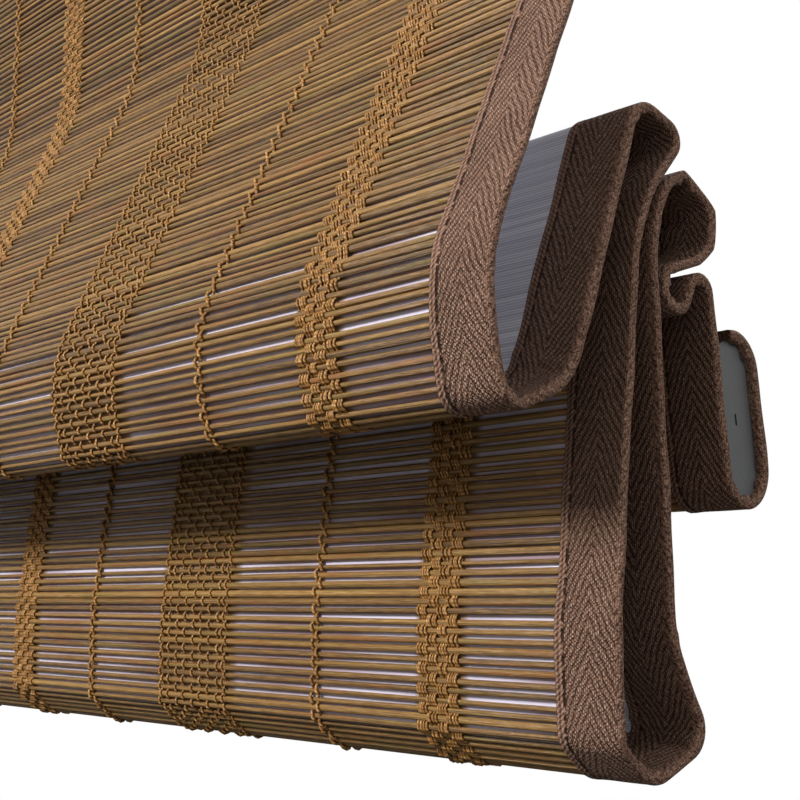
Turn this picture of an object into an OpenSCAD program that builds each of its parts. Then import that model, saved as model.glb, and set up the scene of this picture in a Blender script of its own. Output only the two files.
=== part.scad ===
// Woven reed blind with a lining and taped edges, drawn up into a stack of folds under its headrail.
// X runs along the blind, Y goes back to the window and Z is up. All sizes are in millimetres.
// The origin is the middle of the bracket screws, on the face that meets the window head.

/* [Part] */

/* [Cloth] */
// finished width of the blind without its edge tapes
blind_width = 610; // [420:10:900]
// flat part of the front panel, which sets how far the stack hangs down
front_panel = 108; // [80:1:150]
// distance from one reed to the next
reed_pitch = 2.5; // [2:0.1:3]
// height of a reed over the middle of the mat
reed_rise = 0.75; // [0.6:0.05:1]
// height of the mat between two reeds
web_rise = 0.25; // [0.1:0.05:0.4]
// thickness of the mat behind its middle
mat_back = 0.45; // [0.3:0.05:0.6]
// thickness of the lining
lining_t = 0.3; // [0.2:0.05:0.5]

/* [Warp bands] */
// right edge to the middle of the first narrow band
band_first = 58; // [40:1:80]
// distance from a band to the next one
band_pitch = 110; // [90:1:140]
narrow_band = 15; // [8:1:20]
wide_band = 38; // [24:1:50]
// height of the yarn over the reeds
yarn_t = 0.5; // [0.3:0.1:0.8]

/* [Light gaps] */
// opening between two reeds
light_gap = 0.8; // [0.5:0.1:1]
// band to the end of a gap
gap_margin = 8; // [4:1:14]
// reeds from one row of gaps to the next
gap_reeds = 6; // [4:1:9]
// reeds between a bend and the nearest gap
bend_reeds = 2; // [1:1:4]

/* [Edge tape] */
// width of the tape on the reeds and on the lining
tape_front = 18; // [14:1:26]
tape_back = 20; // [14:1:28]
tape_t = 0.5; // [0.3:0.1:0.8]

/* [Hem rail] */
rail_wall = 1.2; // [0.8:0.1:2]
rail_cap_t = 2.5; // [1.5:0.5:4]
// edge of the cloth to the face of the rail's cap
rail_recess = 2; // [0:0.5:6]
rail_plug = 9; // [5:1:16]
slit_width = 0.8; // [0.5:0.1:1.5]
slit_height = 3; // [2:0.5:5]

/* [Headrail] */
headrail_depth = 40; // [32:1:60]
headrail_height = 28; // [26:1:44]
headrail_wall = 1.6; // [1.2:0.1:2.5]
headrail_corner = 2; // [1:0.5:4]
// rim along the top that the brackets grip
rim_out = 5; // [4:0.5:7]
rim_t = 2; // [1.5:0.1:3]
end_cap_t = 2; // [1.5:0.5:4]
end_plug = 8; // [4:1:14]
// hook strip and loop strip that hold the cloth
strip_height = 20; // [12:1:22]
strip_t = 1; // [0.6:0.1:1.5]

/* [Brackets] */
bracket_width = 36; // [28:1:50]
bracket_t = 2; // [1.5:0.1:3]
// end of the blind to the middle of a bracket
bracket_inset = 85; // [60:5:140]
claw_t = 1.6; // [1.2:0.1:2.5]
claw_under = 2.1; // [1.5:0.1:3]
screw_d = 5; // [4:0.5:6]
screw_head_d = 9.4; // [8:0.2:11]
screw_spacing = 22; // [16:1:28]

/* [Lock lever] */
lever_t = 2; // [1.5:0.1:3]
pivot_back = 10; // [9:0.5:14]
pivot_d = 4; // [3:0.5:5]
lever_nose = 8.6; // [8:0.1:8.8]
nose_width = 6; // [4:0.5:7]
lever_hub_d = 12; // [10:0.5:14]
lever_reach = 24; // [18:1:32]
lever_width = 7; // [5:0.5:9]
rivet_head_d = 8; // [6:0.5:9]
rivet_head_t = 1; // [0.8:0.1:1.5]

/* [Hidden] */
$fn = 48;
// room between pieces that slip past each other
slip = 0.2;
// room between a pin and its hole
pin_room = 0.15;
// room between a plug and the hollow it goes into
plug_room = 0.15;
// cloth top to the claw above it
claw_drop = 0.5;
// largest distance of a drawn chord from its bend
bend_sag = 0.22;

// The path of the cloth from the headrail down to the hem, one row for each bend: straight length
// before it, bend radius, and turn in degrees, where plus turns towards the lining.
folds = [
    [68, 70, -24],     // down from the headrail, then forward over the stack
    [front_panel, 43, 36],
    [11, 6, 100],      // foot of the first fold
    [9, 20, 47],
    [66.5, 7, -84],    // crown of the first fold, in two bends
    [7.5, 4, -116],
    [11, 49, 34],
    [82, 52, 7],       // long second fold
    [23.5, 5.5, 50],   // foot of the second fold, in three bends
    [7.5, 9.5, 60],
    [12, 6.5, 100],
    [13.5, 24, -28],
    [88, 34, -41],
    [0, 11.4, -212],   // crown of the second fold
    [13, 5.5, 225],    // foot of the third fold
    [5.5, 4, -147],    // crown of the third fold
    [47, 9.3, 180],    // last panel, then round the hem rail
    [27, 9.3, 90],     // back of the hem
    [2, 0, 0]
];
front_row = 1;
second_row = 7;
hem_row = 16;

half_width = blind_width / 2;
headrail_top = -bracket_t;
rim_bottom = headrail_top - rim_t;
headrail_bottom = headrail_top - headrail_height;
headrail_end = half_width - end_cap_t;
bracket_x = half_width - bracket_inset;
claw_top = rim_bottom - slip;
claw_bottom = claw_top - claw_t;
claw_front = headrail_depth / 2 + rim_out + slip;
pivot_y = headrail_depth / 2 + pivot_back;
lever_top = rim_bottom - slip;
lever_bottom = lever_top - lever_t;
front_skin = reed_rise + tape_t;
back_face = mat_back + lining_t;
back_skin = back_face + tape_t;
cloth_start = [-headrail_depth / 2 - 2 * strip_t - back_face, claw_bottom - claw_drop];

function heading(i) = i == 0 ? -90 : heading(i - 1) + folds[i - 1][2];
function arc_length(i) = folds[i][1] * abs(folds[i][2]) * PI / 180;
function row_start(i) = i == 0 ? 0 : row_start(i - 1) + folds[i - 1][0] + arc_length(i - 1);
function ahead(a, d) = d * [cos(a), sin(a)];
function left_of(a) = [-sin(a), cos(a)];
function round_bend(a, r, t) = sign(t) * r * [sin(a + t) - sin(a), cos(a) - cos(a + t)];
function row_end(i, p) = p + ahead(headings[i], folds[i][0]) + round_bend(headings[i], folds[i][1], folds[i][2]);
function corner(i) = i == 0 ? cloth_start : row_end(i - 1, corner(i - 1));

last_row = len(folds) - 1;
headings = [for (i = [0:last_row]) heading(i)];
row_starts = [for (i = [0:last_row]) row_start(i)];
corners = [for (i = [0:last_row]) corner(i)];
mat_length = row_starts[last_row] + folds[last_row][0];
reed_count = floor(mat_length / reed_pitch);

// Turn made at a length along the path, and the point there moved to the lining side.
function row_at(s, i = 0) = i < last_row && row_starts[i + 1] <= s ? row_at(s, i + 1) : i;
function bend_length(s, i) = max(0, s - row_starts[i] - folds[i][0]);
function bend_turn(s, i) = folds[i][1] == 0 ? 0 : sign(folds[i][2]) * bend_length(s, i) / folds[i][1] * 180 / PI;
function path_heading(s) = let (i = row_at(s)) headings[i] + bend_turn(s, i);
function path_point(s) = let (
    i = row_at(s),
    run = min(s - row_starts[i], folds[i][0])
) corners[i] + ahead(headings[i], run) + round_bend(headings[i], folds[i][1], bend_turn(s, i));
function beside(s, off) = path_point(s) + off * left_of(path_heading(s));

// Lengths along the path at which a smooth layer has a point.
function bend_steps(i) = folds[i][1] == 0 ? 0 : ceil(abs(folds[i][2]) / (2 * acos(1 - bend_sag / folds[i][1])));
function row_stations(i) = [
    if (folds[i][0] > 0) row_starts[i],
    for (k = [0:1:bend_steps(i) - 1]) row_starts[i] + folds[i][0] + arc_length(i) * k / bend_steps(i)
];
stations = concat([for (i = [0:last_row]) each row_stations(i)], [mat_length]);
station_last = len(stations) - 1;

function line_down(off) = [for (s = stations) beside(s, off)];
function line_up(off) = [for (i = [station_last:-1:0]) beside(stations[i], off)];

// A point on the chord between two stations, so that what lies on a smooth layer touches its face.
function station_at(s) = min(station_last - 1, len([for (q = stations) if (q <= s) q]) - 1);
function on_chord(s, off) = let (
    i = station_at(s),
    share = (s - stations[i]) / (stations[i + 1] - stations[i])
) (1 - share) * beside(stations[i], off) + share * beside(stations[i + 1], off);
function reed_line() = [for (k = [0:reed_count - 1]) each [
    beside(k * reed_pitch, -web_rise),
    on_chord((k + 0.5) * reed_pitch, -reed_rise)
]];

// A drawing in Y and Z carried along X.
module along_x(x0, x1) {
    translate([x0, 0, 0])
        rotate([90, 0, 90])
            linear_extrude(x1 - x0)
                children();
}

// A layer of the cloth between two distances from the middle of the mat.
module layer(near, far) {
    polygon(concat(line_down(near), line_up(far)));
}

// Bands alternate narrow and wide from the right edge.
band_count = floor((blind_width - band_first - tape_front - wide_band / 2) / band_pitch) + 1;
function band_x(i) = half_width - band_first - i * band_pitch;

module warp_bands(first, width) {
    for (i = [first:2:band_count - 1])
        along_x(band_x(i) - width / 2, band_x(i) + width / 2)
            layer(-reed_rise - yarn_t, -reed_rise);
}

// Rows of light gaps on one straight panel, each lying between two bands.
module panel_gaps(row) {
    first_reed = ceil(row_starts[row] / reed_pitch) + bend_reeds;
    last_reed = floor((row_starts[row] + folds[row][0]) / reed_pitch) - bend_reeds;
    gap_length = band_pitch - wide_band / 2 - narrow_band / 2 - 2 * gap_margin;
    for (reed = [first_reed:gap_reeds:last_reed])
        for (i = [0:band_count - 2])
            let (p = path_point(reed * reed_pitch))
                translate([(band_x(i) + band_x(i + 1)) / 2, p[0], p[1]])
                    rotate([headings[row], 0, 0])
                        cube([gap_length, light_gap, 4 * reed_rise + 2 * mat_back], center = true);
}

module bamboo_mat() {
    color("#a8793e")
        difference() {
            along_x(-half_width, half_width)
                polygon(concat(reed_line(), [beside(mat_length, -web_rise)], line_up(mat_back)));
            panel_gaps(front_row);
            panel_gaps(second_row);
        }
}

module warp_bands_narrow() {
    color("#b07a35")
        warp_bands(0, narrow_band);
}

module warp_bands_wide() {
    color("#b9843c")
        warp_bands(1, wide_band);
}

module lining() {
    color("#b4b6c6")
        along_x(-half_width, half_width)
            layer(mat_back, back_face);
}

// Tape folded round the right edge: a face on the reeds, one on the lining and a web over the edge.
module edge_tape() {
    web_middle = half_width + tape_t / 2;
    along_x(half_width - tape_front, web_middle)
        layer(-front_skin, -reed_rise);
    along_x(half_width - tape_back, web_middle)
        layer(back_face, back_skin);
    along_x(half_width, half_width + tape_t)
        layer(-front_skin, back_skin);
}

module binding_right() {
    color("#6d5247")
        edge_tape();
}

module binding_left() {
    color("#765a4e")
        mirror([1, 0, 0])
            edge_tape();
}

// Hem rail: its foot and back lie in the bends of the hem, and a quarter round closes its head.
function rail_wrap(off) = [
    for (s = stations)
        if (s > row_starts[hem_row] && s <= row_starts[hem_row + 2]) beside(s, off)
];
hem_centre = corners[hem_row + 1] + folds[hem_row][1] * left_of(headings[hem_row + 1])
    + ahead(headings[hem_row + 1], folds[hem_row + 1][0]);
rail_tilt = headings[hem_row + 1];
rail_face = half_width - rail_recess;
rail_end_x = rail_face - rail_cap_t;

module rail_section(inset) {
    off = back_skin + inset;
    head_r = folds[hem_row][1] - off;
    polygon(concat(
        rail_wrap(off),
        [for (t = [105:15:180]) hem_centre + head_r * [cos(rail_tilt - 90 + t), sin(rail_tilt - 90 + t)]]
    ));
}

module bottom_rail() {
    color("#9a9ea3")
        along_x(-rail_end_x, rail_end_x)
            difference() {
                rail_section(0);
                rail_section(rail_wall);
            }
}

module rail_end() {
    slit = (hem_centre + corners[hem_row + 1] + folds[hem_row][1] * left_of(rail_tilt)) / 2;
    difference() {
        union() {
            along_x(rail_end_x, rail_face)
                rail_section(0);
            along_x(rail_end_x - rail_plug, rail_end_x)
                difference() {
                    rail_section(rail_wall + plug_room);
                    rail_section(2 * rail_wall + plug_room);
                }
        }
        translate([rail_face - rail_cap_t / 2, slit[0], slit[1]])
            rotate([rail_tilt, 0, 0])
                cube([2 * rail_cap_t, slit_height, slit_width], center = true);
    }
}

module rail_cap_right() {
    color("#5f6166")
        rail_end();
}

module rail_cap_left() {
    color("#66686d")
        mirror([1, 0, 0])
            rail_end();
}

// Headrail: a box section with rounded feet and a rim at its top for the brackets.
module rail_outline() {
    r = headrail_corner;
    foot = headrail_bottom + r;
    translate([-headrail_depth / 2, foot])
        square([headrail_depth, headrail_top - foot]);
    translate([-headrail_depth / 2 + r, headrail_bottom])
        square([headrail_depth - 2 * r, r]);
    for (side = [-1, 1])
        translate([side * (headrail_depth / 2 - r), foot])
            circle(r);
    translate([-headrail_depth / 2 - rim_out, rim_bottom])
        square([headrail_depth + 2 * rim_out, rim_t]);
}

module rail_hollow(room) {
    wall = headrail_wall + room;
    translate([-headrail_depth / 2 + wall, headrail_bottom + wall])
        square([headrail_depth - 2 * wall, headrail_height - 2 * wall]);
}

module headrail() {
    color("#d9d6cd")
        along_x(-headrail_end, headrail_end)
            difference() {
                rail_outline();
                rail_hollow(0);
            }
}

module headrail_cap() {
    along_x(headrail_end, half_width)
        rail_outline();
    along_x(headrail_end - end_plug, headrail_end)
        difference() {
            rail_hollow(plug_room);
            rail_hollow(plug_room + headrail_wall);
        }
}

module headrail_cap_right() {
    color("#c4c0b4")
        headrail_cap();
}

module headrail_cap_left() {
    color("#cbc7bb")
        mirror([1, 0, 0])
            headrail_cap();
}

// Hook strip on the headrail and loop strip on the lining.
module strip(layer_no) {
    strip_end = half_width - tape_back - 2 * slip;
    translate([-strip_end, -headrail_depth / 2 - layer_no * strip_t, cloth_start[1] - strip_height - slip])
        cube([2 * strip_end, strip_t, strip_height]);
}

module hook_strip() {
    color("#e8e6df")
        strip(1);
}

module loop_strip() {
    color("#efede8")
        strip(2);
}

// Bracket: a top plate with a claw for the front rim and a boss for the lock lever behind.
module bracket(x) {
    rear = pivot_y + lever_hub_d / 2;
    front = claw_front + claw_t;
    boss_bottom = lever_top + slip / 2;
    translate([x, 0, 0])
        difference() {
            union() {
                translate([-bracket_width / 2, -front, -bracket_t])
                    cube([bracket_width, front + pivot_y, bracket_t]);
                translate([-lever_hub_d / 2, pivot_y, -bracket_t])
                    cube([lever_hub_d, rear - pivot_y, bracket_t]);
                translate([-bracket_width / 2, -front, claw_bottom])
                    cube([bracket_width, claw_t, -claw_bottom]);
                translate([-bracket_width / 2, -front, claw_bottom])
                    cube([bracket_width, claw_t + slip + claw_under, claw_t]);
                translate([0, pivot_y, boss_bottom])
                    cylinder(h = -boss_bottom, d = rivet_head_d);
            }
            for (side = [-1, 1])
                translate([0, side * screw_spacing / 2, 0])
                    screw_hole();
            translate([0, pivot_y, -10 * bracket_t])
                cylinder(h = 20 * bracket_t, d = pivot_d);
        }
}

module screw_hole() {
    head_depth = bracket_t * 0.6;
    translate([0, 0, -2 * bracket_t])
        cylinder(h = 4 * bracket_t, d = screw_d);
    translate([0, 0, -bracket_t])
        cylinder(h = head_depth, d1 = screw_head_d, d2 = screw_d);
}

module bracket_right() {
    color("#b9bcc0")
        bracket(bracket_x);
}

module bracket_left() {
    color("#b1b4b8")
        bracket(-bracket_x);
}

// Lock lever: a cam nose that goes under the rear rim and a finger tab beside it.
module lever(x) {
    translate([x, pivot_y, lever_bottom])
        linear_extrude(lever_t)
            difference() {
                union() {
                    circle(d = lever_hub_d);
                    translate([-nose_width / 2, -lever_nose])
                        square([nose_width, lever_nose]);
                    translate([0, -lever_width / 2])
                        square([lever_reach - lever_width / 2, lever_width]);
                    translate([lever_reach - lever_width / 2, 0])
                        circle(d = lever_width);
                }
                circle(d = pivot_d + 2 * pin_room);
            }
}

module lever_right() {
    color("#e2e2de")
        lever(bracket_x);
}

module lever_left() {
    color("#dadad6")
        lever(-bracket_x);
}

// Rivets hold the levers to the bracket bosses.
module lever_rivets() {
    color("#8c8f93")
        for (x = [-bracket_x, bracket_x])
            translate([x, pivot_y, 0]) {
                translate([0, 0, lever_bottom - slip / 2])
                    cylinder(h = slip / 2 - lever_bottom, d = pivot_d);
                translate([0, 0, lever_bottom - slip / 2 - rivet_head_t])
                    cylinder(h = rivet_head_t, d = rivet_head_d);
            }
}

bracket_left();
bracket_right();
lever_left();
lever_right();
lever_rivets();
headrail();
headrail_cap_left();
headrail_cap_right();
hook_strip();
loop_strip();
bamboo_mat();
warp_bands_narrow();
warp_bands_wide();
lining();
binding_left();
binding_right();
bottom_rail();
rail_cap_left();
rail_cap_right();
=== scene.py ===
"""Woven reed blind with a lining and taped edges, drawn up into folds under its headrail.

Cloth lengths are millimetres until cloth() turns them into metres of the row frame. A place on the
cloth has three numbers: x along the blind, s down the cloth from its top edge, and off, the distance
from the middle of the mat, where plus is the lining side and minus is the room side.
"""

import math

import bpy
import numpy as np
from mathutils import Matrix


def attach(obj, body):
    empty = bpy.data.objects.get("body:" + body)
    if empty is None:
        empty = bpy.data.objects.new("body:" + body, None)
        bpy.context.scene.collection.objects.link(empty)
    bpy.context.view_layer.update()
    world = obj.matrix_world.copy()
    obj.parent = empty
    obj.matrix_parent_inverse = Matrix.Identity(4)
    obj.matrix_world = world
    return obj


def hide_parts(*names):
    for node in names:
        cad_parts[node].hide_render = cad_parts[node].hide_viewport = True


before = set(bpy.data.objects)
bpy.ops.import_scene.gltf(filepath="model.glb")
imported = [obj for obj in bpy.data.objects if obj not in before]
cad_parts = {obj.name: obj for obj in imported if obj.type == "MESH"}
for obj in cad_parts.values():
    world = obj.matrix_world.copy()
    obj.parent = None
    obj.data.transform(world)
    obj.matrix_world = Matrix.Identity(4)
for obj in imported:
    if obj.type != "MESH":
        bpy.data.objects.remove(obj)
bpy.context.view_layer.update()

random = np.random.default_rng(41)

MM = 0.001
FULL_TURN = 2 * math.pi
HALF_WIDTH = 305.0
REED_PITCH = 2.5

# Yarn bands, counted from the right edge: narrow and wide in turn.
BAND_FIRST = 58.0
BAND_PITCH = 110.0
BAND_COUNT = 5
NARROW_BAND = 15.0
WIDE_BAND = 38.0

# Layers, as distances from the middle of the mat.
REED_MIDDLE = -0.05
REED_REACH = 0.85
YARN_BEHIND = 0.42
LINING_FRONT = 0.82
LINING_BACK = 1.02
TAPE_ON_REEDS = -1.25
TAPE_ON_LINING = 1.42

# Edge tape: its widths on the reeds, on the lining and round the rim, and how far in its seam lies.
TAPE_FRONT = 18.0
TAPE_BACK = 20.0
TAPE_RIM = 3.0
TAPE_SEAM = 3.0

# The lining ends inside the tape's rim, and just short of the cloth's two ends.
LINING_EDGE = HALF_WIDTH - 1
LINING_MARGIN = 0.8

# Rows of the cloth's path: straight length, bend radius, and turn in degrees to the lining side.
CLOTH_TOP = np.array([-22.75, -6.3])
FOLDS = np.array([
    # Down from the headrail, then forward over the stack.
    [68, 70, -24],
    [108, 43, 36],
    # Foot of the first fold.
    [11, 6, 100],
    [9, 20, 47],
    # Crown of the first fold, in two bends.
    [66.5, 7, -84],
    [7.5, 4, -116],
    # Long second fold, and its foot in three bends.
    [11, 49, 34],
    [82, 52, 7],
    [23.5, 5.5, 50],
    [7.5, 9.5, 60],
    [12, 6.5, 100],
    # Up the second fold's back to its crown.
    [13.5, 24, -28],
    [88, 34, -41],
    [0, 11.4, -212],
    # Foot and crown of the third fold.
    [13, 5.5, 225],
    [5.5, 4, -147],
    # Last panel, round the hem rail and up the back of the hem.
    [47, 9.3, 180],
    [27, 9.3, 90],
    [2, 1, 0],
])
STRAIGHT = FOLDS[:, 0]
RADIUS = FOLDS[:, 1]
TURN = np.radians(FOLDS[:, 2])
ROW_LENGTH = STRAIGHT + RADIUS * np.abs(TURN)
ROW_START = np.cumsum(ROW_LENGTH) - ROW_LENGTH
HEADING = -math.pi / 2 + np.cumsum(TURN) - TURN
CLOTH_LENGTH = ROW_LENGTH.sum()


def ahead(heading):
    """Unit step in Y and Z along a heading."""
    return np.stack([np.cos(heading), np.sin(heading)], -1)


def bend(row, turn):
    """Step in Y and Z round a bend: its radius times the change of the normal over the turn."""
    side = np.sign(TURN[row]) * RADIUS[row]
    start = HEADING[row]
    across = np.sin(start + turn) - np.sin(start)
    up = np.cos(start) - np.cos(start + turn)
    return np.stack([side * across, side * up], -1)


ROWS = np.arange(len(FOLDS))
ROW_STEP = STRAIGHT[:, None] * ahead(HEADING) + bend(ROWS, TURN)
ROW_CORNER = CLOTH_TOP + np.cumsum(ROW_STEP, 0) - ROW_STEP

# The second fold's crown is crumpled: it has creases at these shares of its bend.
CROWN = 13
CREASES = ROW_START[CROWN] + ROW_LENGTH[CROWN] * np.array([0, 0.2, 0.57, 0.81, 1])
CREASE_SHARE = 0.75


def crown_dent(s):
    """Step towards the middle of the crown's bend that makes it nearly straight between creases.

    The sag of a bend over its chord is the distance to one crease times that to the next one, over
    twice the radius.
    """
    crease = np.clip(np.searchsorted(CREASES, s) - 1, 0, len(CREASES) - 2)
    sag = np.maximum((s - CREASES[crease]) * (CREASES[crease + 1] - s), 0) / (2 * RADIUS[CROWN])
    return np.sign(TURN[CROWN]) * CREASE_SHARE * sag


def cloth(x, s, off):
    """A place on the cloth in metres: walk s along straights and bends, then step off to the left."""
    s = np.clip(s, 0, CLOTH_LENGTH)
    x, s, off = np.broadcast_arrays(x, s, off + crown_dent(s))
    row = np.searchsorted(ROW_START, s, side="right") - 1
    run = np.minimum(s - ROW_START[row], STRAIGHT[row])
    turn = np.sign(TURN[row]) * (s - ROW_START[row] - run) / RADIUS[row]
    heading = HEADING[row] + turn
    left = np.stack([-np.sin(heading), np.cos(heading)], -1)
    walked = ROW_CORNER[row] + run[..., None] * ahead(HEADING[row]) + bend(row, turn)
    at = walked + off[..., None] * left
    return np.concatenate([x[..., None], at], -1) * MM


# Meshes


def strip_map(along, across, strip, strips, margin=0.1):
    """Packed map of long strips: each one is a row of the unit square, with a margin on both sides."""
    up = (strip + margin + (1 - 2 * margin) * across) / strips
    return np.stack(np.broadcast_arrays(along, up), -1)


def add_mesh(name, points, faces, maps, **attributes):
    """A mesh from arrays: points, blocks of faces with equal corner counts, and maps of those blocks.

    An attribute holds one value for each point. Faces of four corners are shaded smooth.
    """
    mesh = bpy.data.meshes.new(name)
    mesh.vertices.add(len(points))
    mesh.vertices.foreach_set("co", points.astype(np.float32).ravel())
    corner = np.concatenate([block.ravel() for block in faces])
    count = np.concatenate([np.full(len(block), block.shape[1]) for block in faces])
    mesh.loops.add(len(corner))
    mesh.loops.foreach_set("vertex_index", corner.astype(np.int32))
    mesh.polygons.add(len(count))
    mesh.polygons.foreach_set("loop_start", (np.cumsum(count) - count).astype(np.int32))
    mesh.polygons.foreach_set("use_smooth", count == 4)
    for map_name, blocks in maps.items():
        layer = mesh.uv_layers.new(name=map_name)
        places = np.concatenate([block.ravel() for block in blocks])
        layer.uv.foreach_set("vector", places.astype(np.float32))
    for attribute, values in attributes.items():
        made = mesh.attributes.new(attribute, "FLOAT", "POINT")
        made.data.foreach_set("value", values.astype(np.float32))
    mesh.update(calc_edges=True)
    piece = bpy.data.objects.new(name, mesh)
    bpy.context.scene.collection.objects.link(piece)
    return piece


def corners_of(rows, columns):
    """Rows and columns of the four corners of each cell in a grid whose last column joins its first."""
    row, column = np.meshgrid(np.arange(rows - 1), np.arange(columns), indexing="ij")
    corner_row = np.stack([row, row, row + 1, row + 1], -1).reshape(-1, 4)
    corner_column = np.stack([column, column + 1, column + 1, column], -1).reshape(-1, 4)
    return corner_row, corner_column


def add_tubes(name, points, along, reach, tone):
    """Closed tubes from points[tube, ring, side]: quads round each ring pair and a cap at each end.

    Rings lie at millimetres along, from the first to the second number in reach. The cloth map holds
    millimetres along and turns around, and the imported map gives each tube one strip.
    """
    tubes, rings, sides = points.shape[:3]
    row, column = corners_of(rings, sides)
    tube = np.arange(tubes)
    first = tube[:, None] * rings * sides
    quads = (first[..., None] + row * sides + column % sides).reshape(-1, 4)
    ring = np.arange(sides)
    near = first + ring[::-1]
    far = first + (rings - 1) * sides + ring
    length = along[:, row]
    turn = column / sides
    share = (length - reach[0]) / (reach[1] - reach[0])
    cap_packed = strip_map(0.5, 0.5, np.tile(tube, 2)[:, None], tubes)
    maps = {
        "cloth": [np.stack(np.broadcast_arrays(length, turn), -1), np.zeros((2 * tubes, sides, 2))],
        "OFBake": [strip_map(share, turn, tube[:, None, None], tubes), np.repeat(cap_packed, sides, 1)],
    }
    return add_mesh(name, points.reshape(-1, 3), [quads, np.concatenate([near, far])], maps, tone=tone)


def add_wrap(name, points, across_mm, along_mm, lanes, cap_place=0.01, **attributes):
    """A closed skin from points[station, profile]: quads along the stations and a flat cap at each end.

    The cloth map holds millimetres round the profile and along the stations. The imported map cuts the
    skin into lanes of equal length, one strip for each, and the caps are a point of the first strip.
    """
    stations, profile = points.shape[:2]
    row, column = corners_of(stations, profile)
    quads = row * profile + column % profile
    ring = np.arange(profile)
    ends = np.stack([ring[::-1], (stations - 1) * profile + ring])
    closing = across_mm[-1] + across_mm[1] - across_mm[0]
    across = np.append(across_mm, closing)[column]
    per_lane = (stations - 1) / lanes
    lane = np.floor(row.min(1, keepdims=True) / per_lane)
    maps = {
        "cloth": [np.stack([across, along_mm[row]], -1), np.zeros((2, profile, 2))],
        "OFBake": [
            strip_map(row / per_lane - lane, column / profile, lane, lanes, margin=0.02),
            np.full((2, profile, 2), cap_place),
        ],
    }
    return add_mesh(name, points.reshape(-1, 3), [quads, ends], maps, **attributes)


def ring_angles(sides):
    """Even angles round a ring."""
    return np.arange(sides) * FULL_TURN / sides


# Reeds

# Spreads and heights are standard deviations, and limits are the least and the most.
REED_COUNT = int(CLOTH_LENGTH / REED_PITCH)
REED_RADIUS = 0.85
REED_SPREAD = 0.1
REED_LIMITS = (0.64, 1.04)
STOUT_SHARE = 0.12
STOUT_LIMITS = (1.06, 1.18)
LEAN_SPREAD = 0.14
SHIFT_SPREAD = 0.16
SHIFT_LIMIT = 0.3
WAVE_HEIGHTS = (0.1, 0.06, 0.04)
WAVE_LENGTHS = np.array([410.0, 230.0, 140.0])
OVAL_LIMITS = (0.86, 1.0)
TAPER_SHARE = 0.05
TAPER_LENGTH = 61

reed_radius = np.clip(random.normal(REED_RADIUS, REED_SPREAD, REED_COUNT), *REED_LIMITS)
stout = random.random(REED_COUNT) < STOUT_SHARE
reed_radius = np.where(stout, random.uniform(*STOUT_LIMITS, REED_COUNT), reed_radius)
reed_tone = random.random(REED_COUNT)
reed_lean = random.normal(0, LEAN_SPREAD, REED_COUNT)
reed_shift = np.clip(random.normal(0, SHIFT_SPREAD, REED_COUNT), -SHIFT_LIMIT, SHIFT_LIMIT)
reed_waves = random.normal(0, WAVE_HEIGHTS, (REED_COUNT, len(WAVE_HEIGHTS)))
reed_phase = random.uniform(0, FULL_TURN, (REED_COUNT, len(WAVE_HEIGHTS)))


def reed_place(reed, x):
    """Length down the cloth of a reed's middle at x: its pitch, a small lean and three faint waves."""
    reed = np.clip(reed, 0, REED_COUNT - 1)
    waves = reed_waves[reed] * np.sin(FULL_TURN * x[..., None] / WAVE_LENGTHS + reed_phase[reed])
    straight = (reed + 0.5) * REED_PITCH + reed_shift[reed] + reed_lean[reed] * x / HALF_WIDTH
    return straight + waves.sum(-1)


def make_reeds(name, rings=11, sides=6):
    """Each reed is a rod along x: a slightly oval ring of its radius round its wavering middle.

    The radius swells and narrows a little along the rod. Stout reeds are pressed flat, so that none
    stands out of the mat.
    """
    reed = np.arange(REED_COUNT)[:, None]
    x = np.broadcast_to(np.linspace(-HALF_WIDTH, HALF_WIDTH, rings), (REED_COUNT, rings))
    middle = reed_place(reed, x)[..., None]
    angle = ring_angles(sides) + random.uniform(0, math.pi, (REED_COUNT, 1, 1))
    oval = random.uniform(*OVAL_LIMITS, (REED_COUNT, 1, 1))
    taper = 1 + TAPER_SHARE * np.sin(x / TAPER_LENGTH + reed_phase[:, :1])
    radius = (reed_radius[:, None] * taper)[..., None]
    down = middle + radius * np.cos(angle)
    off = REED_MIDDLE + np.minimum(radius * oval, REED_REACH) * np.sin(angle)
    points = cloth(x[..., None], down, off)
    tone = np.repeat(reed_tone, rings * sides)
    return add_tubes(name, points, x, (-HALF_WIDTH, HALF_WIDTH), tone)


# Yarns

# Places in one over and under cycle, as reeds from the one that the yarn lies over.
YARN_STEPS = np.array([-0.5, -0.27, 0.0, 0.27, 0.5, 1.0])
# Shares of a yarn's radius: how far its middle lies from a reed's face, and how far crossings stray.
YARN_SEAT = 0.85
YARN_STRAY = 0.4


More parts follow.
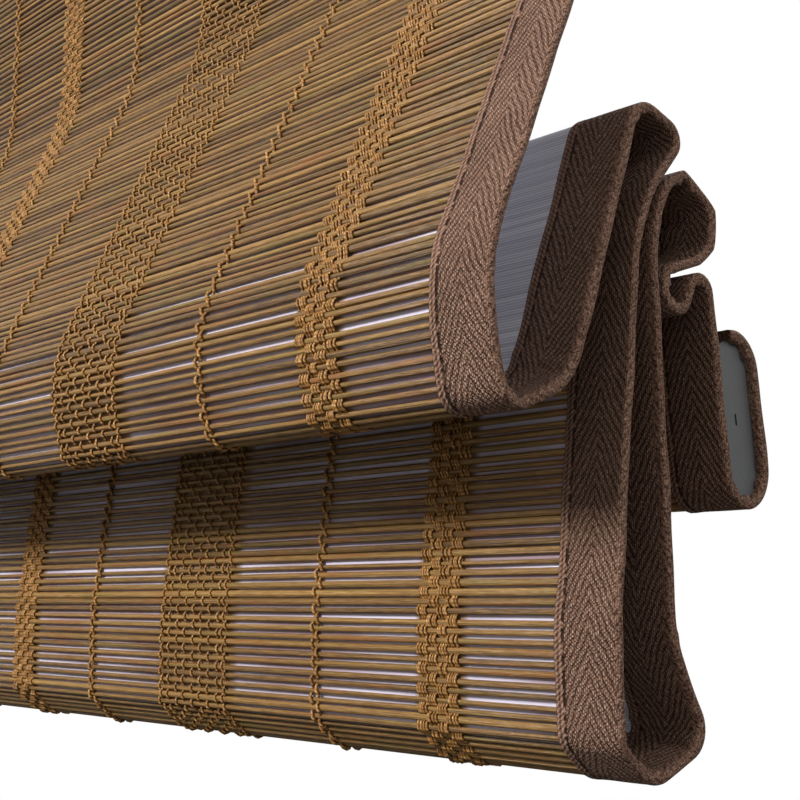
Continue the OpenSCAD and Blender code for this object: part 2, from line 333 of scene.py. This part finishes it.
def make_yarns(name, x, first_reed, radius, sway, slant, sides=4):
    """Yarns down the cloth that pass over one reed and under the next, each from its first reed on.

    The distance from the mat's middle is a cosine over two reeds, as high as reed and yarn are thick
    over a reed and flatter behind the next one. Rings lie square to that wave. Along x a yarn sways with
    that cosine and slants with the sine that lags behind it.
    """
    over = np.arange(0, REED_COUNT, 2)
    reed = np.repeat(over, len(YARN_STEPS)) + first_reed[:, None]
    step = np.tile(YARN_STEPS, len(over))
    swing = np.cos(math.pi * step)
    lag = np.sin(math.pi * step)
    crossings = (len(x), len(over))
    stray = np.repeat(random.normal(0, YARN_STRAY * radius, crossings), len(YARN_STEPS), 1)
    at = x[:, None] + stray + sway * swing + slant * lag
    here = reed_place(reed, at)
    there = reed_place(reed + np.where(step < 0, -1, 1), at)
    down = here + np.abs(step) * (there - here)
    thick = np.minimum(reed_radius[np.clip(reed, 0, REED_COUNT - 1)], REED_REACH)
    front = REED_MIDDLE - thick - YARN_SEAT * radius
    middle = (front + YARN_BEHIND) / 2
    height = (front - YARN_BEHIND) / 2
    off = middle + height * swing
    slope = -height * math.pi / REED_PITCH * lag
    size = np.sqrt(1 + slope ** 2)
    angle = ring_angles(sides)
    wide = radius * np.cos(angle)
    high = -radius * np.sin(angle)
    points = cloth(
        at[..., None] + wide,
        down[..., None] - high * (slope / size)[..., None],
        off[..., None] + high / size[..., None],
    )
    tone = np.repeat(random.random(crossings), len(YARN_STEPS) * sides)
    return add_tubes(name, points, np.clip(down, 0, None), (0, CLOTH_LENGTH), tone)


def band_x(number):
    """Middle of a band along the blind."""
    return HALF_WIDTH - BAND_FIRST - number * BAND_PITCH


def make_narrow_band(number, name, columns=4, column_pitch=3.7, strands=4, strand_pitch=0.95):
    """Columns of fine strands side by side; neighbouring columns pass over alternate reeds."""
    column = np.repeat(np.arange(columns), strands)
    strand = np.tile(np.arange(strands), columns)
    from_middle = (column - (columns - 1) / 2) * column_pitch
    from_column = (strand - (strands - 1) / 2) * strand_pitch
    x = band_x(number) + from_middle + from_column
    return make_yarns(name, x, column % 2, radius=0.45, sway=0.1, slant=0.3)


def make_wide_band(number, name, yarns=9, pitch=4.4, pair_shift=0.25, wander=0.15):
    """Single yarns, of which neighbours pass over alternate reeds, and one more beside each outer yarn.

    The two added yarns lie a share of the pitch further in, over the reeds that the outer yarns go
    under, so each edge is tied on every reed.
    """
    yarn = np.append(np.arange(yarns), [0, yarns - 1])
    paired = np.arange(yarns + 2) >= yarns
    inwards = paired * np.where(yarn == 0, pair_shift, -pair_shift)
    x = band_x(number) + (yarn - (yarns - 1) / 2 + inwards) * pitch
    x += random.normal(0, wander, yarns + 2)
    return make_yarns(name, x, (yarn + paired) % 2, radius=0.46, sway=0.2, slant=0.4)


def make_tie_yarns(name, pair_gap=1.9):
    """Pairs of single yarns half way between the edges of neighbouring bands.

    One yarn of a pair lies over each reed that the other goes under.
    """
    pair = np.repeat(np.arange(BAND_COUNT), 2)
    side = np.tile([0, 1], BAND_COUNT)
    to_narrow = (WIDE_BAND - NARROW_BAND) / 4 * np.where(pair % 2, -1, 1)
    x = band_x(pair + 0.5) + to_narrow + (side - 0.5) * pair_gap
    return make_yarns(name, x, side, radius=0.62, sway=0.4, slant=0.5)


# Edge tapes

FRONT_EDGE = HALF_WIDTH - TAPE_FRONT
BACK_EDGE = HALF_WIDTH - TAPE_BACK
# Half an ellipse round the rim: its middle, and how far it reaches out and to either face.
RIM_X = HALF_WIDTH - 0.6
RIM_OFF = 0.05
RIM_REACH = 1.1
RIM_HEIGHT = 1.35
# Steps in from an edge of the tape, and its rise there: two ridges at the selvedge and a sunk seam.
TAPE_STEPS = np.array([0.0, 0.45, 1.1, 1.75, 2.4, 3.0, 3.6, 5.5, 8.5, 11.5, 14.0, 16.0])
TAPE_RISE = np.array([0.0, 0.2, 0.1, 0.2, 0.08, -0.12, 0.06, 0.03, 0.05, 0.05, 0.03, 0.0])
# Share of that rise on the lining.
BACK_RISE = 0.6
# Inner line of the tape, from the reeds round the cut edge to the lining.
INNER_X = np.array([FRONT_EDGE, RIM_X - 2, RIM_X + 0.5, RIM_X + 0.5, RIM_X - 2, BACK_EDGE])
INNER_OFF = np.array([-0.88, -0.86, -0.5, 0.8, 1.05, 1.05])
# Waves down the tape: their size, the wave lengths summed in each, and where they fade out.
EDGE_SWAY = 0.5
EDGE_LENGTHS = (86, 51, 33)
EDGE_FADE = 6
RIM_SWAY = 0.3
RIM_LENGTHS = (64, 37, 21)
RIM_FADE = 3
SWELL = 0.1
SWELL_LENGTHS = (47, 29, 17)
SWELL_FROM = 1.1
PUCKER_DEPTH = 0.07
PUCKER_LENGTH = 3.1
PUCKER_SPREAD = 2.2
GATHER = 1.3
GATHER_LENGTHS = (9.3, 6.1)
GATHER_SLANT = 0.35
GATHER_LEVEL = 0.25
GATHER_FADE = (0.6, 1.2)
TIGHT_RADIUS = 8
BEND_STATIONS = 9
TAPE_STATION = 1.3
TAPE_LANES = 4


def cloth_stations(step, multiple=1):
    """Even lengths down the cloth, with a number of steps that divides into equal parts."""
    steps = multiple * math.ceil(CLOTH_LENGTH / step / multiple)
    return np.linspace(0, CLOTH_LENGTH, steps + 1)


def ripple(s, lengths, seed):
    """Mean of sines of the given wave lengths with drawn phases."""
    draw = np.random.default_rng(seed).uniform(0, FULL_TURN, len(lengths))
    waves = np.sin(FULL_TURN * s[..., None] / np.array(lengths) + draw)
    return waves.mean(-1)


def fade(value, start, end):
    """Share of the way from start to end, zero before it and one past it."""
    return np.clip((value - start) / (end - start), 0, 1)


def bend_inside(s):
    """How tightly the cloth bends at even lengths s: plus where the lining side is the inside.

    A bend counts as the tight radius over its own, up to one, smoothed over a few stations.
    """
    row = np.searchsorted(ROW_START, s, side="right") - 1
    in_bend = s - ROW_START[row] > STRAIGHT[row]
    curl = np.where(in_bend, np.sign(TURN[row]) * np.minimum(TIGHT_RADIUS / RADIUS[row], 1), 0)
    window = np.hanning(BEND_STATIONS)
    return np.convolve(curl, window / window.sum(), "same")


def tape_outside(rim_points=9):
    """Outer line of the tape: along the back, half an ellipse round the rim, and back over the reeds."""
    turn = np.linspace(math.pi / 2, -math.pi / 2, rim_points)
    back_off = TAPE_ON_LINING + BACK_RISE * TAPE_RISE
    front_x = FRONT_EDGE + TAPE_STEPS[::-1]
    front_off = TAPE_ON_REEDS - TAPE_RISE[::-1]
    x = np.concatenate([BACK_EDGE + TAPE_STEPS, RIM_X + RIM_REACH * np.cos(turn), front_x])
    off = np.concatenate([back_off, RIM_OFF + RIM_HEIGHT * np.sin(turn), front_off])
    return x, off


def make_tape(name, side, seed):
    """Tape folded round the edge: a profile of an outer and an inner line, carried down the cloth.

    Its edges and rim sway, its faces swell, the seam puckers between stitches, and on the inside of
    bends the outer line lifts in slanted gathers. At both ends of the cloth the inner line goes straight
    from face to face, so that the tape closes over the cut edge. The left tape is mirrored.
    """
    s = cloth_stations(TAPE_STATION, TAPE_LANES)
    out_x, out_off = tape_outside()
    outside = len(out_x)
    x = np.concatenate([out_x, INNER_X])
    off = np.concatenate([out_off, INNER_OFF])
    face = np.sign(off)
    edge = np.where(off < 0, FRONT_EDGE, BACK_EDGE)
    at_edge = 1 - fade(x, edge, edge + EDGE_FADE)
    edge_sway = EDGE_SWAY * ripple(s, EDGE_LENGTHS, seed)[:, None] * at_edge
    at_rim = fade(x, RIM_X - RIM_FADE, RIM_X)
    rim_sway = RIM_SWAY * ripple(s, RIM_LENGTHS, seed + 1)[:, None] * at_rim
    swell = SWELL * ripple(s, SWELL_LENGTHS, seed + 2)[:, None] * (np.abs(off) > SWELL_FROM)
    at_seam = np.exp(-((x - edge - TAPE_SEAM) / PUCKER_SPREAD) ** 2)
    pucker = PUCKER_DEPTH * np.sin(FULL_TURN * s / PUCKER_LENGTH)[:, None] * at_seam
    slanted = ripple(s[:, None] + GATHER_SLANT * x, GATHER_LENGTHS, seed + 3)
    lifted = fade(np.abs(off), *GATHER_FADE) * (np.arange(len(x)) < outside)
    inside = np.clip(bend_inside(s)[:, None] * face, 0, 1)
    gather = GATHER * inside * np.clip(slanted + GATHER_LEVEL, 0, None) * lifted
    across_x = x + edge_sway + rim_sway
    away = off + face * (pucker + swell + gather)
    across_x[[0, -1], outside:] = np.linspace(FRONT_EDGE, BACK_EDGE, len(INNER_X))
    away[[0, -1], outside:] = np.linspace(INNER_OFF[0], INNER_OFF[-1], len(INNER_X))
    points = cloth(across_x, s[:, None], away)
    length = np.cumsum(np.hypot(np.diff(out_x), np.diff(out_off)))
    across = np.concatenate([[0], length, np.full(len(INNER_X), length[-1])])
    if side < 0:
        points = points[:, ::-1] * np.array([-1, 1, 1])
        across = across[::-1]
    return add_wrap(name, points, across, s, TAPE_LANES)


# Lining

LINING_STATION = 2.2
# Faint ripples: height, and millimetres for each radian along the blind and down the cloth.
LINING_RIPPLES = [(0.06, 37, 23), (0.05, 19, -41)]


def make_lining(name, columns=26):
    """A thin closed sheet: its front line and its back line down the cloth, carried along x.

    The ripples move both lines together, so the sheet keeps its thickness.
    """
    s = np.clip(cloth_stations(LINING_STATION), LINING_MARGIN, CLOTH_LENGTH - LINING_MARGIN)
    x = np.linspace(-LINING_EDGE, LINING_EDGE, columns)[:, None]
    down = np.concatenate([s, s[::-1]])
    depth = np.repeat([LINING_FRONT, LINING_BACK], len(s))
    drift = sum(height * np.sin(x / along + down / below) for height, along, below in LINING_RIPPLES)
    points = cloth(x, down, depth + drift)
    room_side = np.broadcast_to(depth == LINING_FRONT, points.shape[:2]).ravel()
    return add_wrap(name, points, down, x[:, 0], 1, room_side=room_side)


# Finishes


def tint(code):
    """Linear colour of a hex code."""
    part = np.array([int(code[i:i + 2], 16) for i in (1, 3, 5)]) / 255
    linear = np.where(part <= 0.04045, part / 12.92, ((part + 0.055) / 1.055) ** 2.4)
    return (*linear.tolist(), 1.0)


class Signal:
    """An output of a node. Arithmetic on it adds Math nodes."""

    def __init__(self, nodes, node, out=0):
        self.nodes = nodes
        self.node = node
        self.out = out

    def output(self, out):
        """Another output of the same node."""
        return Signal(self.nodes, self.node, out)

    def socket(self):
        """The output itself, to link from."""
        return self.node.outputs[self.out]

    def __add__(self, other):
        return self.nodes.maths("ADD", self, other)

    __radd__ = __add__

    def __sub__(self, other):
        return self.nodes.maths("SUBTRACT", self, other)

    def __rsub__(self, other):
        return self.nodes.maths("SUBTRACT", other, self)

    def __mul__(self, other):
        return self.nodes.maths("MULTIPLY", self, other)

    __rmul__ = __mul__

    def __truediv__(self, other):
        return self.nodes.maths("DIVIDE", self, other)


class Nodes:
    """The nodes of one tree."""

    def __init__(self, tree):
        self.tree = tree
        tree.nodes.clear()

    def set(self, node, sockets):
        """Values or links of a node's sockets."""
        for key, value in sockets.items():
            if isinstance(value, Signal):
                self.tree.links.new(value.socket(), node.inputs[key])
            else:
                node.inputs[key].default_value = value

    def node(self, kind, sockets=None, settings=None):
        """Any node: its settings first, then the values or links of its sockets."""
        made = self.tree.nodes.new(kind)
        for key, value in (settings or {}).items():
            if key == "stops":
                ramp = made.color_ramp
                while len(ramp.elements) < len(value):
                    ramp.elements.new(1)
                for element, (place, colour) in zip(ramp.elements, value):
                    element.position = place
                    element.color = tint(colour)
            else:
                setattr(made, key, value)
        self.set(made, sockets or {})
        return Signal(self, made)

    def maths(self, operation, *values):
        """A Math node."""
        return self.node("ShaderNodeMath", dict(enumerate(values)), {"operation": operation})

    def wave(self, value):
        """Sine of the value, between zero and one."""
        return self.maths("SINE", value) * 0.5 + 0.5

    def beads(self, value):
        """Sine of the value without its sign: a row of humps."""
        return self.maths("ABSOLUTE", self.maths("SINE", value))

    def hump(self, value):
        """One hump from each whole number to the next."""
        return self.maths("SINE", self.maths("FRACT", value) * math.pi)

    def span(self, value, low, high):
        """Zero below low, one above high, smooth between."""
        sockets = {"Value": value, "From Min": low, "From Max": high}
        return self.node("ShaderNodeMapRange", sockets, {"interpolation_type": "SMOOTHSTEP"})

    def ramp(self, value, *stops):
        """Colour of a value from stops of place and hex code."""
        return self.node("ShaderNodeValToRGB", {"Fac": value}, {"stops": stops})

    def blend(self, share, first, second):
        """Mix of two colours."""
        sockets = {0: share, 6: first, 7: second}
        return self.node("ShaderNodeMix", sockets, {"data_type": "RGBA"}).output(2)

    def noise(self, place, detail=2.0, rough=0.5):
        """Noise of one wave for each unit of place."""
        sockets = {"Vector": place, "Scale": 1.0, "Detail": detail, "Roughness": rough}
        return self.node("ShaderNodeTexNoise", sockets)


def shader_sockets(values):
    """Shader socket names from keyword names: base_color is Base Color."""
    return {key.replace("_", " ").title().replace("Ior", "IOR"): value for key, value in values.items()}


class Finish(Nodes):
    """A material with one Principled shader, built from node() calls and Signal arithmetic."""

    def __init__(self, name, **shader):
        self.material = bpy.data.materials.new(name)
        self.material.use_nodes = True
        super().__init__(self.material.node_tree)
        self.shader = self.node("ShaderNodeBsdfPrincipled", shader_sockets(shader))
        self.node("ShaderNodeOutputMaterial", {"Surface": self.shader})

    def object_place(self, waves):
        """Object coordinates, which are metres, times waves in a metre along x, y and z."""
        place = self.node("ShaderNodeTexCoord").output("Object")
        return self.node("ShaderNodeMapping", {"Vector": place, "Scale": waves})

    def cloth_place(self):
        """The two numbers of the piece's own map.

        They are millimetres along and turns around on a yarn, millimetres across and down the cloth on
        a tape, and millimetres down the cloth and along the blind on the lining.
        """
        place = self.node("ShaderNodeUVMap", settings={"uv_map": "cloth"})
        parts = self.node("ShaderNodeSeparateXYZ", {0: place})
        return parts.output("X"), parts.output("Y")

    def attribute(self, name):
        """The piece's own value at each point."""
        return self.node("ShaderNodeAttribute", settings={"attribute_name": name}).output("Fac")

    def emboss(self, height, depth):
        """Bump by a height, of which one is depth metres."""
        bump = self.node("ShaderNodeBump", {"Height": height, "Distance": depth})
        self.set(self.shader.node, {"Normal": bump})

    def look(self, **sockets):
        """The material, once its shader has these values or links."""
        self.set(self.shader.node, shader_sockets(sockets))
        return self.material


def reed_finish():
    """Stained split bamboo: a tone for each reed, long fibres and short specks along it, patches."""
    f = Finish("reed_stained", specular_ior_level=0.45)
    tone = f.attribute("tone")
    fibre = f.noise(f.object_place((14, 2300, 2300)), detail=3, rough=0.7)
    patch = f.noise(f.object_place((30, 420, 420)))
    olive = f.noise(f.object_place((22, 530, 530)), detail=1)
    speck = f.noise(f.object_place((170, 3300, 3300)), rough=0.65)
    level = tone * 0.42 + fibre * 1.1 + speck * 1.1 - 0.89
    colour = f.ramp(level, (0.0, "#432f19"), (0.3, "#72532a"), (0.65, "#946f3b"), (1.0, "#bd965b"))
    colour = f.blend(f.span(patch, 0.54, 0.72) * 0.45, colour, tint("#8f5325"))
    colour = f.blend(f.span(olive, 0.54, 0.72) * 0.4, colour, tint("#75692c"))
    f.emboss(fibre + speck * 0.7, 0.00035)
    return f.look(base_color=colour, roughness=0.6 - fibre * 0.3)


def yarn_finish():
    """Golden spun yarn: fibres twisted round each strand, with painted light where a strand faces the
    room and painted shade at its sides.
    """
    f = Finish("yarn_golden", specular_ior_level=0.4, roughness=0.55)
    along, turn = f.cloth_place()
    around = turn * FULL_TURN
    twist = f.wave(along * 6.2 + around)
    painted_crest_light = f.wave(around)
    fuzz = f.noise(f.object_place((1300, 1300, 1300)))
    # Painted light and shade: each strand is lighter where it faces the room and darker at its sides and
    # back.
    level = painted_crest_light * 0.55 + twist * 0.28 + fuzz * 0.75 + f.attribute("tone") * 0.25 - 0.56
    colour = f.ramp(level, (0.0, "#38220d"), (0.35, "#744d1f"), (0.7, "#9e7036"), (1.0, "#d9b078"))
    f.emboss(twist * 0.7 + fuzz * 0.7, 0.0002)
    return f.look(base_color=colour)


def tape_finish(ridge_pitch=1.6, thread_width=0.62, stitch_length=1.05, brick_shift=0.43, rim_blur=0.8):
    """Herringbone tape: steep slanted ridges that change side half way across each face.

    Short stitches lie over the ridges like bricks, warped by noise, each with a tone of its own. A
    chain of stitches runs along the selvedges, and the rim is rubbed to a fuzz and darkened by painted
    shade.
    """
    f = Finish("tape_brown", roughness=0.9, specular_ior_level=0.2)
    across, along = f.cloth_place()
    selvedge_extra = 0.1
    outer_line = TAPE_FRONT + TAPE_BACK + TAPE_RIM + selvedge_extra
    inset = f.maths("MINIMUM", across, outer_line - across)
    sway = f.noise(f.object_place((130, 130, 130)), detail=1) - 0.5
    stray = f.noise(f.object_place((620, 620, 620)), detail=1) - 0.5
    side = f.maths("PINGPONG", inset - TAPE_SEAM, (TAPE_FRONT - TAPE_SEAM) / 2)
    ridge = f.hump((side * 0.88 + along * 0.47) / ridge_pitch + sway * 1.2 + stray * 0.4)
    thread = inset / thread_width + stray * 1.1
    number = f.maths("FLOOR", thread)
    place = along / stitch_length + number * brick_shift + sway * 2 + stray * 1.3
    cell = f.node("ShaderNodeCombineXYZ", {0: number, 1: f.maths("FLOOR", place)})
    speck = f.node("ShaderNodeTexWhiteNoise", {"Vector": cell}, {"noise_dimensions": "2D"})
    stitch = f.hump(thread) * f.hump(place)
    weave = ridge * 0.36 + stitch * (ridge * 0.3 + speck * 0.42 + 0.1)
    chain = f.beads(inset * 2.1 + stray)
    links = f.beads((along + inset * 0.8) * 2.3 + stray * 2)
    selvedge = 1 - f.span(inset, TAPE_SEAM - 0.4, TAPE_SEAM + 0.1)
    past_seam = f.span(inset, TAPE_SEAM, TAPE_SEAM + 0.6)
    at_seam = f.span(inset, TAPE_SEAM - 0.6, TAPE_SEAM - 0.1) - past_seam
    seam = at_seam * f.span(stray, -0.12, 0.1)
    rim = f.span(inset, TAPE_FRONT - rim_blur, TAPE_FRONT + rim_blur)
    fuzz = f.noise(f.object_place((1500, 1500, 1500)))
    cloud = f.noise(f.object_place((60, 60, 60)))
    woven = weave * (1 - selvedge) + (chain * 0.35 + links * 0.35) * selvedge - seam * 0.7
    rubbed = rim * 0.6
    height = woven * (1 - rubbed) + fuzz * 1.2 * rubbed
    # The rim term makes the rim a little darker: painted shade.
    level = height + fuzz * 0.6 + cloud * 0.25 - rim * 0.12 - 0.52
    colour = f.ramp(level, (0.0, "#38251b"), (0.28, "#705343"), (0.6, "#9b7966"), (1.0, "#ceac96"))
    f.emboss(height + fuzz * 0.6, 0.0008)
    return f.look(base_color=colour)


def lining_finish(gap_length=55, narrow_fade=3, wide_fade=4, lit_from=(30, 50), lit_to=(100, 160)):
    """Thin pale lining: fine threads both ways, thicker ones here and there.

    Towards the reeds its colour is painted light and shade: painted shade from the reeds, brown painted
    shade under the bands, and between bands painted light through it in some of the gaps between reeds,
    most of them above the stack.
    """
    f = Finish("lining_grey", roughness=0.9, specular_ior_level=0.2, sheen_weight=0.2)
    down, across = f.cloth_place()
    weft = f.wave(down * 7.5 + f.noise(f.object_place((40, 40, 300))) * 3)
    warp = f.wave(across * 10.5)
    slub = f.noise(f.object_place((9, 900, 900)))
    level = weft * 0.4 + warp * 0.15 + slub - 0.2
    cloth_colour = f.ramp(level, (0.15, "#a0a0ab"), (0.6, "#d0d0d9"), (1.0, "#f2f2f6"))
    # Painted light through the lining: some gaps between reeds are lit from behind, in soft patches and
    # mostly above the stack.
    reed = f.maths("ROUND", down / REED_PITCH)
    gap = f.noise(f.node("ShaderNodeCombineXYZ", {0: across / gap_length, 1: reed * 0.9}), detail=1)
    glow = f.noise(f.object_place((13, 26, 26)), detail=1)
    above_stack = f.span(down, *lit_from) * (1 - f.span(down, *lit_to))
    painted_backlight = f.span(gap * 0.6 + glow * 0.75 + slub * 0.15 + above_stack * 0.22, 0.58, 0.86)
    narrow_edge = NARROW_BAND / 2
    wide_edge = BAND_PITCH - WIDE_BAND / 2
    from_narrow = f.maths("PINGPONG", band_x(0) - across, BAND_PITCH)
    past_narrow = f.span(from_narrow, narrow_edge, narrow_edge + narrow_fade)
    before_wide = 1 - f.span(from_narrow, wide_edge - wide_fade, wide_edge)
    # Painted shade in the gaps between reeds is grey mauve, and painted light makes them pale lavender;
    # under the bands there is brown painted shade.
    painted_gaps_between_bands = f.blend(painted_backlight, tint("#a28b91"), tint("#d8d1e1"))
    painted_light_and_shade = f.blend(past_narrow * before_wide, tint("#8c6f53"), painted_gaps_between_bands)
    f.emboss(level, 0.00008)
    # Only the room side carries the painted light and shade; the side away from the room shows the
    # lining's own colour.
    return f.look(base_color=f.blend(f.attribute("room_side"), cloth_colour, painted_light_and_shade))


def moulded_finish(name, dark, light, rough):
    """Moulded plastic: a fine even grain and faint clouds of tone."""
    f = Finish(name, specular_ior_level=0.4)
    grain = f.noise(f.object_place((900, 900, 900)))
    cloud = f.noise(f.object_place((45, 45, 45)), detail=3)
    colour = f.blend(cloud * 0.7 + grain * 0.3, tint(dark), tint(light))
    f.emboss(grain, 0.00005)
    return f.look(base_color=colour, roughness=rough + cloud * 0.15)


def enamel_finish():
    """Painted headrail: satin enamel with a faint orange peel and soft clouds of tone."""
    f = Finish("headrail_enamel", specular_ior_level=0.35)
    peel = f.noise(f.object_place((420, 420, 420)), detail=1)
    cloud = f.noise(f.object_place((25, 60, 60)), detail=3)
    colour = f.blend(cloud, tint("#c2bdaf"), tint("#d6d1c4"))
    f.emboss(peel, 0.00003)
    return f.look(base_color=colour, roughness=0.52 + cloud * 0.14)


def steel_finish(name, dark, light, rough):
    """Plated steel: rolling lines along the blind and a soft mottle."""
    f = Finish(name, metallic=1.0)
    lines = f.noise(f.object_place((30, 1600, 1600)), detail=3)
    mottle = f.noise(f.object_place((160, 160, 160)), detail=3)
    colour = f.blend(mottle * 0.7 + lines * 0.3, tint(dark), tint(light))
    f.emboss(lines, 0.00002)
    return f.look(base_color=colour, roughness=rough + mottle * 0.2)


def strip_finish(name, dark, light, tufts):
    """Fastening strip: tiny hooks or a felt of loops, by the number of tufts in a metre."""
    f = Finish(name, roughness=0.8, specular_ior_level=0.3, sheen_weight=0.2)
    tuft = f.node("ShaderNodeTexVoronoi", {"Vector": f.object_place((1, 1, 1)), "Scale": tufts})
    fuzz = f.noise(f.object_place((700, 700, 700)))
    level = 1 - tuft * 0.8 + fuzz * 0.4 - 0.2
    colour = f.blend(f.span(level, 0.2, 1.1), tint(dark), tint(light))
    f.emboss(level, 0.0004)
    return f.look(base_color=colour)


# The pieces

reeds = make_reeds("reed_mat")
narrow_bands = [make_narrow_band(n, f"narrow_band_{n // 2 + 1}") for n in range(0, BAND_COUNT, 2)]
wide_bands = [make_wide_band(n, f"wide_band_{n // 2 + 1}") for n in range(1, BAND_COUNT, 2)]
ties = make_tie_yarns("tie_yarns")
tape_right = make_tape("edge_tape_right", side=1, seed=5)
tape_left = make_tape("edge_tape_left", side=-1, seed=9)
lining = make_lining("lining_cloth")

YARN = yarn_finish()
TAPE = tape_finish()
dressed = [(reeds, reed_finish(), "reed", "bamboo_mat"), (lining, lining_finish(), "lining", "lining")]
dressed += [(piece, YARN, "yarn", "warp_bands_narrow") for piece in narrow_bands]
dressed += [(piece, YARN, "yarn", "warp_bands_wide") for piece in wide_bands]
dressed += [(tape_right, TAPE, "tape", "binding_right"), (tape_left, TAPE, "tape", "binding_left")]
dressed += [(ties, YARN, "yarn", None)]
for piece, finish, slot, node in dressed:
    piece.data.materials.append(finish)
    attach(piece, "blind")
    if node:
        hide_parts(node)

GREY_CAP = moulded_finish("cap_grey", "#3a3b3c", "#4f5051", rough=0.42)
PALE_CAP = moulded_finish("cap_pale", "#b0ab9e", "#c6c1b5", rough=0.5)
ENAMEL = enamel_finish()
ZINC = steel_finish("zinc_plate", "#767b7f", "#a9adaf", rough=0.45)
LEVER = moulded_finish("lever_white", "#bfbdb6", "#d4d2cc", rough=0.45)
RAIL = steel_finish("rail_mill", "#a3a6a9", "#c9cbcd", rough=0.34)
node_finishes = {
    "bracket_left": ZINC,
    "bracket_right": ZINC,
    "lever_left": LEVER,
    "lever_right": LEVER,
    "lever_rivets": steel_finish("rivet_steel", "#9da1a4", "#cfd2d3", rough=0.24),
    "headrail": ENAMEL,
    "headrail_cap_left": PALE_CAP,
    "headrail_cap_right": PALE_CAP,
    "hook_strip": strip_finish("hook_nylon", "#b9b7b0", "#eeece6", tufts=1100),
    "loop_strip": strip_finish("loop_felt", "#c9c7c0", "#f3f1ec", tufts=1700),
    "bottom_rail": RAIL,
    "rail_cap_left": GREY_CAP,
    "rail_cap_right": GREY_CAP,
}
for node, finish in node_finishes.items():
    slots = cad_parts[node].data.materials
    slots.clear()
    slots.append(finish)


# Stage


def make_floor(level=-0.62, radius=1.5, corners=96):
    """Round pale floor under the hanging blind: one disc, bright to the eye and grey to other rays."""
    angle = ring_angles(corners)
    rim = np.stack([radius * np.cos(angle), radius * np.sin(angle), np.full(corners, level)], -1)
    floor = add_mesh("floor", rim, [np.arange(corners)[None]], {})
    f = Finish("floor_pale", roughness=0.95, specular_ior_level=0.1, emission_strength=0.55)
    cloud = f.noise(f.object_place((6, 6, 6)))
    pale = f.blend(cloud, tint("#f1f1f0"), tint("#f6f6f5"))
    seen = f.node("ShaderNodeLightPath").output("Is Camera Ray")
    colour = f.blend(seen, tint("#5c5c5b"), pale)
    glow = f.blend(seen, tint("#000000"), pale)
    floor.data.materials.append(f.look(base_color=colour, emission_color=glow))


def make_world(light=0.16):
    """Soft even light; the eye, mirrors and glass see plain white in its place."""
    world = bpy.data.worlds.new("studio")
    world.use_nodes = True
    bpy.context.scene.world = world
    w = Nodes(world.node_tree)
    path = w.node("ShaderNodeLightPath")
    mirrored = w.maths("MAXIMUM", path.output("Is Camera Ray"), path.output("Is Glossy Ray"))
    seen = w.maths("MAXIMUM", mirrored, path.output("Is Transmission Ray"))
    soft = w.node("ShaderNodeBackground", {"Strength": light})
    white = w.node("ShaderNodeBackground", {"Color": tint("#ffffff"), "Strength": 1.0})
    shown = w.node("ShaderNodeMixShader", {0: seen, 1: soft, 2: white})
    w.node("ShaderNodeOutputWorld", {"Surface": shown})


def aim(eye, direction):
    """Matrix of something upright that looks from eye along a direction."""
    back = -np.asarray(direction, float) / np.linalg.norm(direction)
    right = np.cross((0, 0, 1), back)
    right /= np.linalg.norm(right)
    made = np.eye(4)
    made[:3, :3] = np.stack([right, np.cross(back, right), back], 1)
    made[:3, 3] = eye
    return Matrix(made.tolist())


def add_lamp(name, eye, target, size, power):
    """Square soft box at eye that faces target."""
    lamp = bpy.data.lights.new(name, "AREA")
    lamp.shape = "SQUARE"
    lamp.size = size
    lamp.energy = power
    made = bpy.data.objects.new(name, lamp)
    made.matrix_world = aim(eye, np.subtract(target, eye))
    bpy.context.scene.collection.objects.link(made)


def add_camera(eye, azimuth, rise, focal_pixels=1300, frame_pixels=800, sensor=36):
    """Camera with the photograph's perspective, from its focal length and its frame in pixels."""
    turn = math.radians(azimuth)
    tilt = math.radians(rise)
    look = (-math.sin(turn) * math.cos(tilt), math.cos(turn) * math.cos(tilt), math.sin(tilt))
    camera = bpy.data.cameras.new("camera")
    camera.sensor_width = sensor
    camera.lens = sensor * focal_pixels / frame_pixels
    camera.clip_start = 0.01
    made = bpy.data.objects.new("camera", camera)
    made.matrix_world = aim(eye, look)
    bpy.context.scene.collection.objects.link(made)
    bpy.context.scene.camera = made


make_floor()
make_world()
add_lamp("key_box", eye=(0.2, -1.25, 0.55), target=(0.2, -0.04, -0.2), size=0.4, power=28)
add_lamp("fill_box", eye=(0.9, -1.0, -0.1), target=(0.2, -0.04, -0.2), size=1.0, power=2)
add_lamp("side_box", eye=(1.2, 0.3, 0.25), target=(0.3, 0.0, -0.2), size=0.6, power=5)
add_lamp("back_box", eye=(0.1, 1.2, 0.8), target=(0.1, 0.0, -0.15), size=0.8, power=12)
add_camera(eye=(0.4884, -0.28075, -0.2857), azimuth=46.0, rise=8.746)
bpy.context.scene.view_settings.view_transform = "Standard"
